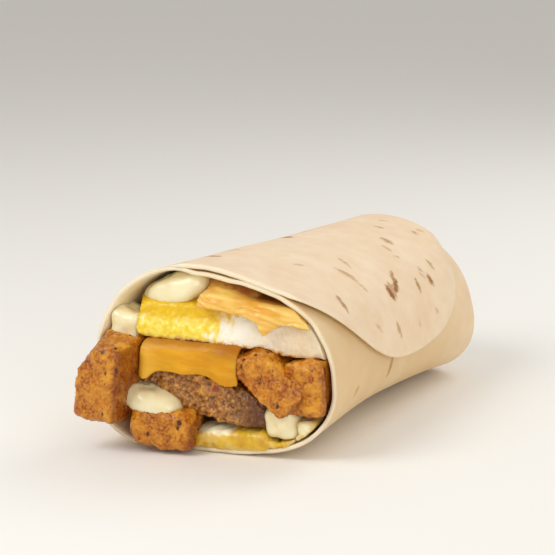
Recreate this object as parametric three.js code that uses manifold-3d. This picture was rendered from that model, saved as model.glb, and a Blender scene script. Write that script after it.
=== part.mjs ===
// A breakfast burrito lying on a table: a flour tortilla rolled round fried egg, cheese, a sausage
// patty, seasoned potato chunks and creamy sauce. The front end is open, the back end is tucked shut.
// Millimetres, +Z up. +Y runs from the open end to the closed end, and +X is on the right of the
// open end. The origin is on the table, under the middle of the whole burrito.
import * as THREE from "three";
import { mergeVertices } from "three/addons/utils/BufferGeometryUtils.js";
import Module from "manifold-3d";

const wasm = await Module();
wasm.setup();

// Driving dimensions

// The roll as seen from outside. Widths and heights are those of the open end.
const roll = {
  halfWidth: 35,
  halfHeight: 26,
  squareness: 2.6,
  length: 110,
  backWidth: 0.911,
  backHeight: 0.926,
  waistWidth: 0.0285,
  waistHeight: 0.023,
  waistDrift: -1.5,
  backDrift: -3,
  flattened: 0.5,
};

// How far the section leaves a plain superellipse, as shares of its radius. What the waist has is
// added to what lies between the front and the back.
const lopsided = {
  lean: { front: -0.013, waist: 0, back: 0.013 },
  sideSwell: { front: 0.031, waist: 0.015, back: 0.013 },
  shoulder: { front: -0.051, waist: 0.031, back: -0.087 },
};

// The open end is cut a little askew: millimetres of setback for each millimetre across and up.
const cut = { across: 0.209, up: 0.049 };

// The tucked back end: a rounded cap with soft pleats that run in to its middle.
const tuck = {
  depth: 13.8,
  squareness: 2.5,
  pleats: 5,
  pleatDepth: 1.5,
  twist: 0.55,
  foldedIn: 3,
};

const dough = { thickness: 1.3, rimThickness: 0.8, seam: 0.25, rimWave: 0.5 };

// The last turn of the sheet: a round tongue whose edge crosses the roll's right side.
const tongue = {
  lowestAngle: -5,
  lowestAt: 60,
  frontRise: 32.5,
  frontReach: 55,
  frontPower: 2.3,
  backRise: 57,
  backReach: 50,
  backPower: 4,
  rootAngle: 182,
  edgeLift: 1.2,
  slitFrom: 70,
  slitTo: 119,
  slitDepth: 9,
  slitGap: 0.5,
};

const gap = 0.35; // kept between neighbouring pieces
const weld = 0.01; // corners closer than this become one
const fillingEnd = 113; // how deep the layers run into the roll

const degrees = Math.PI / 180;
const mix = (a, b, share) => a + (b - a) * share;
const smooth = (low, high, value) => THREE.MathUtils.smoothstep(value, low, high);
const signedPower = (value, power) => Math.sign(value) * Math.abs(value) ** power;

// The shape of the roll

// 1 halfway along the roll and 0 at both ends.
const waist = (along) => 4 * along * (1 - along);

function sectionRadius(angle, along) {
  const n = roll.squareness;
  const across = Math.abs(Math.cos(angle) / roll.halfWidth) ** n;
  const up = Math.abs(Math.sin(angle) / roll.halfHeight) ** n;
  const swell = (part) => mix(part.front, part.back, along) + part.waist * waist(along);
  const uneven =
    swell(lopsided.lean) * Math.sin(2 * angle) +
    swell(lopsided.sideSwell) * Math.cos(3 * angle) +
    swell(lopsided.shoulder) * Math.sin(3 * angle);
  return (across + up) ** (-1 / n) * (1 + uneven);
}

const widthShare = (along) =>
  1 - roll.waistWidth * waist(along) + (roll.backWidth - 1) * along;
const heightShare = (along) =>
  1 - roll.waistHeight * waist(along) + (roll.backHeight - 1) * along;
const drift = (along) => roll.waistDrift * waist(along) + roll.backDrift * along * along;

// Height of the section's centre over its own lowest point.
const restHeights = new Map();
function restHeight(along) {
  const key = along.toFixed(4);
  if (!restHeights.has(key)) {
    let lowest = 0;
    for (let i = 0; i < 180; i++) {
      const angle = -i * degrees;
      const height = sectionRadius(angle, along) * Math.sin(angle) * heightShare(along);
      lowest = Math.min(lowest, height);
    }
    restHeights.set(key, -lowest);
  }
  return restHeights.get(key);
}

// Depth of the soft pleats on the closed end. They fade out towards its rim and its middle.
function pleatDepth(angle, closeness) {
  const turn = (angle / (2 * Math.PI)) * tuck.pleats + tuck.twist * closeness;
  const uneven = 0.22 * Math.sin(2 * angle + 1);
  const share = turn + uneven - Math.floor(turn + uneven);
  const fold = smooth(0, 0.3, share) * (1 - smooth(0.3, 1, share));
  return tuck.pleatDepth * fold * smooth(0.12, 0.45, closeness) * (1 - smooth(0.8, 1, closeness));
}

// A point of the roll. station runs 0 to 1 along the sides and 1 to 2 over the closed end, and
// inset is the distance below the outermost surface.
function rollPoint(angle, station, inset = 0) {
  const along = Math.min(station, 1);
  const over = (Math.max(station - 1, 0) * Math.PI) / 2;
  const closeness = Math.max(station - 1, 0);
  const below = inset + pleatDepth(angle, closeness);
  const radius = sectionRadius(angle, along);
  const x = radius * Math.cos(angle) * widthShare(along);
  const z = radius * Math.sin(angle) * heightShare(along);
  const kept = 1 - below / Math.hypot(x, z);
  const narrowing = Math.max(Math.cos(over), 0) ** (2 / tuck.squareness);
  const bulge = (tuck.depth - below) * Math.sin(over) ** (2 / tuck.squareness);
  const askew = (1 - along) ** 2;
  const setback = askew * (cut.across * x * kept + cut.up * z * kept);
  const sunk = roll.flattened * (1 - waist(along));
  const height = z * kept * narrowing + restHeight(along) - sunk;
  return new THREE.Vector3(
    x * kept * narrowing + drift(along),
    along * roll.length + bulge + setback,
    Math.max(height, inset),
  );
}

// Setback of the open end's plane at a place on it.
const rimSetback = (x, z) => cut.across * x + cut.up * (z - roll.halfHeight);

// Solids from grids

// A manifold solid from an indexed geometry, turned to face out. Close corners become one, and
// the triangles that this flattens are dropped.
function closedSolid(geometry) {
  const merged = mergeVertices(geometry, weld);
  const corners = [];
  const { array } = merged.index;
  for (let i = 0; i < array.length; i += 3) {
    const [a, b, c] = array.subarray(i, i + 3);
    if (a !== b && b !== c && c !== a) corners.push(a, b, c);
  }
  const vertProperties = merged.attributes.position.array;
  const build = () =>
    new wasm.Manifold(
      new wasm.Mesh({ numProp: 3, vertProperties, triVerts: new Uint32Array(corners) }),
    );
  const made = build();
  if (made.volume() > 0) return made;
  for (let i = 0; i < corners.length; i += 3) {
    [corners[i + 1], corners[i + 2]] = [corners[i + 2], corners[i + 1]];
  }
  return build();
}

function solidOf(vertices, triangles) {
  const geometry = new THREE.BufferGeometry().setFromPoints(vertices);
  geometry.setIndex(new THREE.BufferAttribute(new Uint32Array(triangles), 1));
  return closedSolid(geometry);
}

function geometryOf(solid) {
  const { numVert, numProp, vertProperties, triVerts } = solid.getMesh();
  const positions = new Float32Array(numVert * 3);
  for (let i = 0; i < numVert; i++) {
    positions.set(vertProperties.subarray(i * numProp, i * numProp + 3), i * 3);
  }
  const geometry = new THREE.BufferGeometry();
  geometry.setAttribute("position", new THREE.BufferAttribute(positions, 3));
  geometry.setIndex(new THREE.BufferAttribute(triVerts, 1));
  return geometry;
}

// The closed skin between two grids of points, each a function of (row, column).
function sheetSolid(rows, columns, top, bottom) {
  const vertices = [];
  for (const side of [top, bottom]) {
    for (let j = 0; j <= rows; j++) {
      for (let i = 0; i <= columns; i++) vertices.push(side(j / rows, i / columns));
    }
  }
  const stride = columns + 1;
  const layer = (rows + 1) * stride;
  const at = (side, j, i) => side * layer + j * stride + i;
  const triangles = [];
  const quad = (a, b, c, d) => triangles.push(a, b, c, a, c, d);
  for (let j = 0; j < rows; j++) {
    for (let i = 0; i < columns; i++) {
      quad(at(0, j, i), at(0, j, i + 1), at(0, j + 1, i + 1), at(0, j + 1, i));
      quad(at(1, j, i), at(1, j + 1, i), at(1, j + 1, i + 1), at(1, j, i + 1));
    }
    quad(at(0, j, 0), at(0, j + 1, 0), at(1, j + 1, 0), at(1, j, 0));
    quad(at(0, j, columns), at(1, j, columns), at(1, j + 1, columns), at(0, j + 1, columns));
  }
  for (let i = 0; i < columns; i++) {
    quad(at(0, 0, i), at(1, 0, i), at(1, 0, i + 1), at(0, 0, i + 1));
    quad(at(0, rows, i), at(0, rows, i + 1), at(1, rows, i + 1), at(1, rows, i));
  }
  return solidOf(vertices, triangles);
}

// A closed tube skin: rings of points between a first and a last pole.
function ringSolid(rings, around, ringPoint, firstPole, lastPole) {
  const vertices = [firstPole];
  for (let j = 0; j < rings; j++) {
    for (let i = 0; i < around; i++) vertices.push(ringPoint(j, i / around));
  }
  vertices.push(lastPole);
  const last = vertices.length - 1;
  const at = (j, i) => 1 + j * around + (i % around);
  const triangles = [];
  for (let i = 0; i < around; i++) {
    triangles.push(0, at(0, i + 1), at(0, i));
    triangles.push(last, at(rings - 1, i), at(rings - 1, i + 1));
    for (let j = 0; j < rings - 1; j++) {
      triangles.push(at(j, i), at(j, i + 1), at(j + 1, i + 1));
      triangles.push(at(j, i), at(j + 1, i + 1), at(j + 1, i));
    }
  }
  return solidOf(vertices, triangles);
}

// Soft bumps, from -1 to 1, of about the given size.
function bumps(point, size, seed) {
  const k = (2 * Math.PI) / size;
  const first = Math.sin(k * point.x + seed) * Math.sin(0.8 * k * point.y + 2.1 * seed);
  const second = Math.sin(1.3 * k * point.z + 1.7 * seed + 0.6 * k * point.x);
  return (first + second) / 2;
}

// The largest piece of a solid, without the scraps that cutting leaves.
function largest(solid) {
  return solid.decompose().reduce((best, part) => (part.volume() > best.volume() ? part : best));
}

// The tortilla

// Stations along the roll, closer together at both ends, for the outer and inner skins.
const outerStations = [0, 0.03, 0.12, 0.25, 0.4, 0.55, 0.7, 0.84, 0.94, 1, 1.14, 1.29, 1.45, 1.62, 1.8];
const innerStations = [0, 0.03, 0.15, 0.4, 0.7, 0.94, 1.14, 1.4, 1.7];
const around = 44;

// Angle of the tongue's free edge at a distance from the open end.
function tongueEdge(distance) {
  const away = distance - tongue.lowestAt;
  const rise =
    away < 0
      ? tongue.frontRise * (-away / tongue.frontReach) ** tongue.frontPower
      : tongue.backRise * (away / tongue.backReach) ** tongue.backPower;
  return (tongue.lowestAngle + rise) * degrees;
}

// The inner turn lies one sheet lower where the tongue covers it, easing out to both sides.
function underTongue(angle) {
  const turned = THREE.MathUtils.euclideanModulo(angle / degrees + 90, 360) - 90;
  const right = smooth(-70, -25, turned);
  const left = 1 - smooth(128, 185, turned);
  return dough.thickness * right * left;
}

// The sheet thins out at the open end, and lies in several folds in the closed one.
const wallThickness = (station) =>
  mix(dough.rimThickness, dough.thickness, smooth(0, 0.04, station)) +
  tuck.foldedIn * smooth(0.96, 1.3, station);

// A loose, uneven rim: how far the edge of the sheet stands out at an angle.
const rimWave = (angle) =>
  dough.rimWave * (Math.sin(3 * angle + 0.7) + 0.6 * Math.sin(7 * angle + 2)) * 0.6;

function sleeveSolid() {
  const skin = (station, share, extra) => {
    const angle = share * 2 * Math.PI;
    const point = rollPoint(angle, station, underTongue(angle) + extra);
    if (station === 0) point.y += rimWave(angle);
    return point;
  };
  const outer = outerStations.map((station) => (share) => skin(station, share, 0));
  const inner = innerStations.map(
    (station) => (share) => skin(station, share, wallThickness(station)),
  );
  const rings = [...outer].reverse().concat(inner);
  const pole = (inset) => rollPoint(0, 2, inset);
  return ringSolid(
    rings.length,
    around,
    (j, share) => rings[j](share),
    pole(0.2),
    pole(wallThickness(2) + 0.2),
  );
}

// Station whose side lies at a distance from the open end.
function stationAt(distance) {
  if (distance <= roll.length) return distance / roll.length;
  const share = Math.min((distance - roll.length) / tuck.depth, 1);
  return 1 + Math.asin(share ** (tuck.squareness / 2)) / (Math.PI / 2);
}

function tongueSolid() {
  const distances = [0, 3, 9, 19, 30, 42, 54, 64, 74, 84, 92, 99, 105, 109, 113, 117];
  const rows = distances.length - 1;
  const columns = 20;
  const root = tongue.rootAngle * degrees;
  const place = (row, column) => {
    const distance = distances[Math.round(row * rows)];
    return { distance, angle: mix(root, tongueEdge(distance), column), column };
  };
  const edgeLift = ({ distance, column }) =>
    tongue.edgeLift * smooth(0.78, 1, column) * (1 - smooth(38, 62, distance));
  const slit = ({ distance, angle }) => {
    const turned = angle / degrees;
    const middle = smooth(tongue.slitFrom, tongue.slitFrom + 10, turned);
    const side = 1 - smooth(tongue.slitTo - 10, tongue.slitTo, turned);
    return tongue.slitGap * middle * side * (1 - smooth(0, tongue.slitDepth, distance));
  };
  const skin = (spot, inset) => {
    const point = rollPoint(spot.angle, stationAt(spot.distance), inset);
    if (spot.distance === 0) point.y += rimWave(spot.angle);
    return point;
  };
  const top = (row, column) => {
    const spot = place(row, column);
    const rounding = 0.45 * smooth(0.96, 1, column) + 0.5 * smooth(0.95, 1, row);
    const sunk = 0.6 * (1 - smooth(0, 0.2, column));
    return skin(spot, rounding + sunk - edgeLift(spot) - 0.35 * slit(spot));
  };
  const bottom = (row, column) => {
    const spot = place(row, column);
    const inset = Math.max(underTongue(spot.angle), 0.7) + dough.seam;
    return skin(spot, inset - 1.1 * edgeLift(spot) - 1.35 * slit(spot));
  };
  return sheetSolid(rows, columns, top, bottom);
}

// Everything inside the roll stays in this tool, which opens out in front of the rim.
function cavityTool() {
  const inset = (station) => wallThickness(station) + gap;
  const hollow = innerStations.slice(1).map((station) => (share) => {
    const angle = share * 2 * Math.PI;
    return rollPoint(angle, station, underTongue(angle) + inset(station));
  });
  const mouth = [30, 12, -0.5].map((forward) => (share) => {
    const angle = share * 2 * Math.PI;
    const flare = forward > 0 ? (forward * 3) / 12 : 0;
    const point = rollPoint(angle, 0, underTongue(angle) + inset(0) - flare);
    point.y -= forward;
    return point;
  });
  const rings = [...mouth, ...hollow];
  return ringSolid(
    rings.length,
    32,
    (j, share) => rings[j](share),
    new THREE.Vector3(0, -30, roll.halfHeight),
    rollPoint(0, 2, inset(2)),
  );
}

// The fillings

// A place in the filling. x and z are read on the open end's plane, depth is behind it, and the
// roll's own taper carries a layer in as it runs back.
function fillingPoint(x, depth, z) {
  const along = THREE.MathUtils.clamp(depth / roll.length, 0, 1);
  const wide = widthShare(along);
  const high = heightShare(along);
  return new THREE.Vector3(
    x * wide + drift(along),
    depth + rimSetback(x, z) * (1 - along) ** 2,
    z * high,
  );
}

// A long layer with a superellipse section. place takes where a point lies across and through the
// layer, each from -1 to 1, its depth, and how far the skin there is swollen or drawn in.
function layerSolid({ front, back, squareness, rounding = 1.4, rings = 5, grow, place }) {
  const ends = [
    { depth: front - grow, drawn: rounding },
    { depth: front - grow + 0.3 * rounding, drawn: 0.3 * rounding },
  ];
  const body = Array.from({ length: rings }, (_, j) => {
    const share = (j / (rings - 1)) ** 1.4;
    return { depth: mix(front - grow + rounding, back + grow - rounding, share), drawn: 0 };
  });
  const levels = [...ends, ...body, { depth: back + grow, drawn: rounding }];
  const ringPoint = (j, share) => {
    const angle = share * 2 * Math.PI;
    const across = signedPower(Math.cos(angle), 2 / squareness);
    const through = signedPower(Math.sin(angle), 2 / squareness);
    return place(across, levels[j].depth, through, grow - levels[j].drawn);
  };
  const pole = (depth) => place(0, depth, 0, 0);
  return ringSolid(levels.length, 28, ringPoint, pole(front - grow), pole(back + grow));
}

// A chunk: a squarish lump with corners knocked off by flats and soft bumps all over.
function chunkSolid({ at, size, turn, squareness, flats = [], lump, seed, detail, grow = 0 }) {
  const ball = new THREE.IcosahedronGeometry(1, detail);
  ball.deleteAttribute("normal");
  ball.deleteAttribute("uv");
  const round = mergeVertices(ball, 1e-4);
  const half = size.map((length) => length / 2);
  const rotation = new THREE.Euler(...turn.map((angle) => angle * degrees));
  const centre = fillingPoint(at.x, at.depth, at.z);
  const vertices = [];
  for (let i = 0; i < round.attributes.position.count; i++) {
    const way = new THREE.Vector3().fromBufferAttribute(round.attributes.position, i).normalize();
    const n = squareness;
    const reach =
      Math.abs(way.x / half[0]) ** n + Math.abs(way.y / half[1]) ** n + Math.abs(way.z / half[2]) ** n;
    const point = way.clone().multiplyScalar(reach ** (-1 / n));
    for (const flat of flats) {
      const normal = new THREE.Vector3(...flat.normal).normalize();
      const over = point.dot(normal) - flat.distance;
      if (over > 0) point.addScaledVector(normal, -0.85 * over);
    }
    point.addScaledVector(way, lump.amount * bumps(point, lump.size, seed) + grow);
    vertices.push(point.applyEuler(rotation).add(centre));
  }
  return solidOf(vertices, Array.from(round.index.array));
}

// A slice of cheese that lies on a layer and hangs over its front. line gives the height that it
// lies at and drop how far its front edge hangs.
function drapeSolid({ from, to, line, drop, front, back, thick, columns, grow }) {
  const bend = 2.2;
  const rows = 10;
  const flatShare = 0.4;
  const bendShare = 0.7;
  const path = (x, share) => {
    if (share < flatShare) {
      const depth = mix(back + grow, front + bend, share / flatShare);
      return { depth, z: line(x, depth), tilt: 0 };
    }
    if (share < bendShare) {
      const tilt = ((share - flatShare) / (bendShare - flatShare)) * (Math.PI / 2);
      const depth = front + bend * (1 - Math.sin(tilt));
      return { depth, z: line(x, depth) - bend * (1 - Math.cos(tilt)), tilt };
    }
    const hang = (share - bendShare) / (1 - bendShare);
    const fall = bend + hang * Math.max(drop(x) - bend + grow, 0.2);
    return { depth: front, z: line(x, front) - fall, tilt: Math.PI / 2 };
  };
  const side = (sign) => (row, column) => {
    const x = mix(from - grow, to + grow, column);
    const spot = path(x, row);
    const thinning = 1 - 0.5 * Math.abs(2 * column - 1) ** 8 - 0.25 * smooth(0.85, 1, row);
    const half = (thick(x) / 2) * thinning + grow;
    return fillingPoint(
      x,
      spot.depth - sign * half * Math.sin(spot.tilt),
      spot.z + sign * half * Math.cos(spot.tilt),
    );
  };
  return sheetSolid(rows, columns, side(1), side(-1));
}

// Behind the cut the layers have settled: they spread until they meet each other and the wall.
const settled = (depth) => smooth(7, 28, depth);

// Fried egg on top: thick and level on the left, thinning and sinking to the right wall.
const egg = {
  left: -21.6,
  right: 37,
  front: 0.6,
  top: 41.6,
  bottom: 31,
  leftRise: 0.8,
  topFall: 4.4,
  bottomFall: 4,
  settledLeft: -40,
  settledRise: 9,
  underCheese: 24,
};
const eggTop = (x) =>
  egg.top + egg.leftRise * (1 - smooth(-22, -15, x)) - egg.topFall * smooth(0, 38, x) ** 1.2;
const eggBottom = (x) => egg.bottom - egg.bottomFall * smooth(-8, 38, x);
const friedEgg = (grow) =>
  layerSolid({
    squareness: 6,
    front: egg.front,
    back: fillingEnd,
    rounding: 1,
    grow,
    place: (across, depth, through, swell) => {
      const left = mix(egg.left, egg.settledLeft, settled(depth));
      const reach = (egg.right - left) / 2 + swell;
      const x = (left + egg.right) / 2 + across * reach;
      const covered = egg.underCheese * smooth(-7, -2, x);
      const top = eggTop(x) + egg.settledRise * settled(depth - covered) + swell;
      return fillingPoint(x, depth, mix(eggBottom(x) - swell, top, (through + 1) / 2));
    },
  });

// Sausage patty: a thick crumbly slab that leans down to the right.
const sausage = {
  x: -3.4,
  z: [16.9, 18.6],
  reach: [21.5, 32],
  half: [5.9, 9.4],
  lean: [-14, -5],
  front: -1.2,
  back: 110,
};
const sausagePatty = (grow) =>
  layerSolid({
    squareness: 3.2,
    front: sausage.front,
    back: sausage.back,
    rounding: 1.8,
    rings: 7,
    grow,
    place: (across, depth, through, swell) => {
      const at = ([cutEnd, inside]) => mix(cutEnd, inside, settled(depth));
      const lump = 0.5 * bumps({ x: across * 20, y: depth, z: through * 5 }, 9, 1.3);
      const s = across * (at(sausage.reach) + swell + lump);
      const t = through * (at(sausage.half) + swell + lump);
      const cos = Math.cos(at(sausage.lean) * degrees);
      const sin = Math.sin(at(sausage.lean) * degrees);
      return fillingPoint(sausage.x + s * cos - t * sin, depth, at(sausage.z) + s * sin + t * cos);
    },
  });

// Second egg: a thin fold that hugs the floor and the right wall of the roll.
const fold = { from: [-112, -174], to: -8, thickness: [5, 8.2], front: 1.2 };
const foldedEgg = (grow) =>
  layerSolid({
    squareness: 2.8,
    front: fold.front,
    back: fillingEnd,
    grow,
    place: (across, depth, through, swell) => {
      const at = ([cutEnd, inside]) => mix(cutEnd, inside, settled(depth));
      const spread = (fold.to - at(fold.from)) / 2;
      const angle = (fold.to - spread + across * (spread + 1.8 * swell)) * degrees;
      const along = THREE.MathUtils.clamp(depth / roll.length, 0, 1);
      const wall = dough.thickness + underTongue(angle) + 1.8 * gap;
      const body = at(fold.thickness) * (1 - 0.4 * Math.abs(across) ** 3);
      const inset = mix(wall + body + swell, wall - swell, (through + 1) / 2);
      const point = rollPoint(angle, along, inset);
      point.y = depth + rimSetback(point.x, point.z) * (1 - along) ** 2;
      return point;
    },
  });

// Cheese slice on the sausage: it hangs over the front in a wavy curtain.
const slice = { from: -18.8, to: 9.4, height: 29, thickness: 3.2, front: -2.3, hang: 7.4 };
const cheeseMiddle = (grow) =>
  drapeSolid({
    ...slice,
    line: () => slice.height,
    drop: (x) => slice.hang + 1.2 * (1 - smooth(-16.5, -14, x)) + 1.6 * smooth(-3, 8.5, x),
    back: 60,
    thick: () => slice.thickness,
    columns: 12,
    grow,
  });

// Cheese slice on the upper egg: melted over its right half, with one drip down the white, and
// heaped against the roof at its left end.
const melt = { from: -3, to: 35.5, thickness: 2.6, drip: 16.6, heap: 5 };
const cheeseTop = (grow) => {
  const atLeft = (x) => 1 - smooth(-3, 11, x);
  const dripAt = (x) => Math.exp(-(((x - melt.drip) / 2.6) ** 2));
  return drapeSolid({
    ...melt,
    line: (x, depth) =>
      eggTop(x) + gap + melt.thickness / 2 + atLeft(x) * (0.9 + melt.heap * smooth(2, 13, depth)),
    drop: (x) => 3 + 3.3 * dripAt(x) - 1.2 * smooth(20, 25, x),
    front: egg.front - gap - melt.thickness / 2 - 0.5,
    back: 38,
    thick: (x) => melt.thickness + 1.4 * atLeft(x),
    columns: 16,
    grow,
  });
};

// Potato chunks. Sizes run across, along and up, before the turn.
const potatoes = {
  potato_left: {
    at: { x: -26.8, depth: -3, z: 20.4 },
    size: [13, 19, 23.4],
    turn: [3, 7, 3],
    squareness: 5,
    flats: [
      { normal: [-1, -0.35, 0.75], distance: 8.6 },
      { normal: [1, -1, 0.3], distance: 11.6 },
    ],
    seed: 0.4,
  },
  potato_bottom: {
    at: { x: -12, depth: 0.4, z: 7 },
    size: [18, 15, 10.6],
    turn: [0, 4, 16],
    squareness: 5,
    flats: [
      { normal: [-1, -1, -0.6], distance: 10.4 },
      { normal: [1, -0.6, 1], distance: 9.8 },
    ],
    seed: 2.2,
  },
  potato_middle: {
    at: { x: 17.2, depth: 7, z: 22.6 },
    size: [24, 22, 12.2],
    turn: [0, 34, 0],
    squareness: 4.4,
    flats: [
      { normal: [-1, -0.4, 1], distance: 9.4 },
      { normal: [0.4, -1, 0.8], distance: 11.8 },
    ],
    seed: 4.1,
  },
  potato_right: {
    at: { x: 28.4, depth: 8.6, z: 20.4 },
    size: [12, 22, 16.4],
    turn: [0, -4, 3],
    squareness: 5,
    flats: [{ normal: [0.6, -1, 1], distance: 12 }],
    seed: 5.6,
  },
};
const potatoSolid = (name) => (grow) =>
  chunkSolid({ ...potatoes[name], lump: { amount: 0.5, size: 8.5 }, detail: 4, grow });

// Dollops of creamy sauce in the gaps between the layers.
const sauces = {
  sauce_top: {
    at: { x: -12.4, depth: 10, z: 44.6 },
    size: [23, 17, 10.4],
    turn: [0, -23, 0],
    squareness: 2.8,
    seed: 0.9,
  },
  sauce_corner: {
    at: { x: -26.6, depth: 6, z: 33.4 },
    size: [10, 14, 11],
    turn: [0, 8, 4],
    squareness: 6,
    seed: 1.9,
  },
  sauce_left: {
    at: { x: -18.2, depth: 1.5, z: 14 },
    size: [20.6, 12, 8.6],
    turn: [0, 12, 0],
    squareness: 2.6,
    seed: 3.4,
  },
  sauce_right: {
    at: { x: 20.6, depth: 4.6, z: 11 },
    size: [10.4, 12, 11.2],
    turn: [0, -12, 0],
    squareness: 3.2,
    seed: 4.8,
  },
};
const sauceSolid = (name) => (grow) =>
  chunkSolid({ ...sauces[name], lump: { amount: 0.35, size: 9 }, detail: 2, grow });

// Materials

const finish = (color, roughness) =>
  new THREE.MeshStandardMaterial({ color, roughness, metalness: 0 });
const materials = {
  dough: finish("#e9d3b2", 0.75),
  egg: finish("#f1e6cf", 0.45),
  yolk: finish("#e3b92c", 0.45),
  cheese: finish("#eeab35", 0.35),
  sausage: finish("#9a6536", 0.55),
  potato: finish("#cf7c2c", 0.55),
  sauce: finish("#eee3bb", 0.3),
};

// Assembly

// In the order they are laid: a later piece gives way to the earlier ones.
const piece = (name, make, material) => ({ name, make, material });
const fillings = [
  piece("sauce_left", sauceSolid("sauce_left"), "sauce"),
  ...Object.keys(potatoes).map((name) => piece(name, potatoSolid(name), "potato")),
  piece("sauce_right", sauceSolid("sauce_right"), "sauce"),
  piece("sausage_patty", sausagePatty, "sausage"),
  piece("fried_egg", friedEgg, "egg"),
  piece("cheese_middle", cheeseMiddle, "cheese"),
  piece("cheese_top", cheeseTop, "cheese"),
  piece("folded_egg", foldedEgg, "yolk"),
  piece("sauce_top", sauceSolid("sauce_top"), "sauce"),
  piece("sauce_corner", sauceSolid("sauce_corner"), "sauce"),
];

// A named mesh whose own origin is the middle of its solid.
function meshOf(name, solid, material) {
  const geometry = geometryOf(closedSolid(geometryOf(solid)));
  geometry.computeBoundingBox();
  const middle = geometry.boundingBox.getCenter(new THREE.Vector3());
  geometry.translate(-middle.x, -middle.y, -middle.z);
  geometry.computeVertexNormals();
  const mesh = new THREE.Mesh(geometry, materials[material]);
  mesh.name = name;
  mesh.position.copy(middle);
  return mesh;
}

const burrito = new THREE.Group();
burrito.add(meshOf("tortilla", largest(sleeveSolid().add(tongueSolid())), "dough"));

const cavity = cavityTool();
const laid = [];
for (const { name, make, material } of fillings) {
  const room = laid.reduce((space, tool) => space.subtract(tool), make(0).intersect(cavity));
  burrito.add(meshOf(name, largest(room), material));
  laid.push(make(gap));
}

// Bring the origin under the middle of the burrito.
const box = new THREE.Box3().setFromObject(burrito, true);
const middle = box.getCenter(new THREE.Vector3());
burrito.position.set(-middle.x, -middle.y, -box.min.z);

export default burrito;
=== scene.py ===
import math

import bpy
import numpy as np
from mathutils import Euler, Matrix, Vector, noise


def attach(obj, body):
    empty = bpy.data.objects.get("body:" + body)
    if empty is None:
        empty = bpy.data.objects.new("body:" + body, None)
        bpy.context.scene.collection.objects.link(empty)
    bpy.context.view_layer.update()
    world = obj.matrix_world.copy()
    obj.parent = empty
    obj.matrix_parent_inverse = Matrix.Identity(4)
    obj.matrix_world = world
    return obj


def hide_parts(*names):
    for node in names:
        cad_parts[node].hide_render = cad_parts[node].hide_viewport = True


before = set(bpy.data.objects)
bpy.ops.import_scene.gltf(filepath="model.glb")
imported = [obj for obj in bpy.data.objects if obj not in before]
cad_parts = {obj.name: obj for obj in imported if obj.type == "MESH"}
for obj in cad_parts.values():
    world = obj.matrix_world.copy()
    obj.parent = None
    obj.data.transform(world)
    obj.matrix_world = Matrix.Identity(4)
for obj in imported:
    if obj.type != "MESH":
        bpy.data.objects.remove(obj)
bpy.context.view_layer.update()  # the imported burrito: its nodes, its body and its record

mm = 0.001  # sizes and places in the dictionaries are in millimetres
perMetre = 1000.0
seedSteps = (13.7, 7.1, 3.3)  # how far apart two seeds read the noise

view = {
    "place": (284.76, -506.69, 164.96),
    "turn": 30.059,  # degrees to the left of straight along the roll
    "dip": 12.143,  # degrees down
    "lens": 129.53,
    "sensor": 36,
    "farthest": 100000,
}
lamps = {  # size, power, place
    "key": (420, 2.05, (-250, -420, 520)),
    "fill": (500, 1.1, (520, -380, 220)),
    "back": (360, 0.85, (160, 420, 420)),
}
light = {"aim": (0, 0, 25), "sky": 0.54, "skyTone": (1, 0.97, 0.925, 1)}
ground = {"size": 30000, "gloss": 0.7, "tone": (247, 245, 240)}


# Small helpers

def onlySelect(*pieces):
    bpy.ops.object.select_all(action="DESELECT")
    for piece in pieces:
        piece.select_set(True)
    bpy.context.view_layer.objects.active = pieces[0]


def finishWith(piece, kind, **settings):
    onlySelect(piece)
    modifier = piece.modifiers.new(kind.lower(), kind)
    for name, value in settings.items():
        setattr(modifier, name, value)
    bpy.ops.object.modifier_apply(modifier=modifier.name)


def readAll(items, name, width=3):
    values = np.empty(len(items) * width, dtype=np.float32)
    items.foreach_get(name, values)
    return values.reshape(-1, width).astype(float)


def readPoints(piece):
    return readAll(piece.data.vertices, "co") / mm


def movePoints(piece, points):
    piece.data.vertices.foreach_set("co", (points * mm).ravel())
    piece.data.update()


def readNormals(piece):
    return readAll(piece.data.vertex_normals, "vector")


def paint(piece, name, values):
    layer = piece.data.attributes.new(name, "FLOAT", "POINT")
    layer.data.foreach_set("value", np.asarray(values, dtype=np.float32).ravel())


def readPaint(piece, name):
    return readAll(piece.data.attributes[name].data, "value", 1).ravel()


def weigh(piece, name, weights):
    group = piece.vertex_groups.new(name=name)
    for index, weight in enumerate(weights):
        group.add([index], float(weight), "REPLACE")


def readWeights(piece, name):
    index = piece.vertex_groups[name].index
    weights = np.zeros(len(piece.data.vertices))
    for vertex in piece.data.vertices:
        for entry in vertex.groups:
            if entry.group == index:
                weights[vertex.index] = entry.weight
    return weights


def selectFaces(piece, chosen):
    onlySelect(piece)
    for parts in (piece.data.vertices, piece.data.edges):
        parts.foreach_set("select", np.zeros(len(parts), dtype=bool))
    piece.data.polygons.foreach_set("select", chosen)
    bpy.ops.object.mode_set(mode="EDIT")
    bpy.ops.mesh.select_mode(type="FACE")


def editAll(piece):
    onlySelect(piece)
    bpy.ops.object.mode_set(mode="EDIT")
    bpy.ops.mesh.select_all(action="SELECT")


def backToObject():
    bpy.ops.object.mode_set(mode="OBJECT")


def metres(*lengths):
    return [length * mm for length in lengths]


def smooth(low, high, value):
    share = np.clip((value - low) / (high - low), 0, 1)
    return share * share * (3 - 2 * share)


def fading(low, high, value):
    return 1 - smooth(low, high, value)


def mix(a, b, share):
    return a + (b - a) * share


def lumps(points, size, seed):
    shift = Vector(seedSteps) * seed
    return np.array([noise.noise(Vector(p) / size + shift) for p in points])


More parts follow.
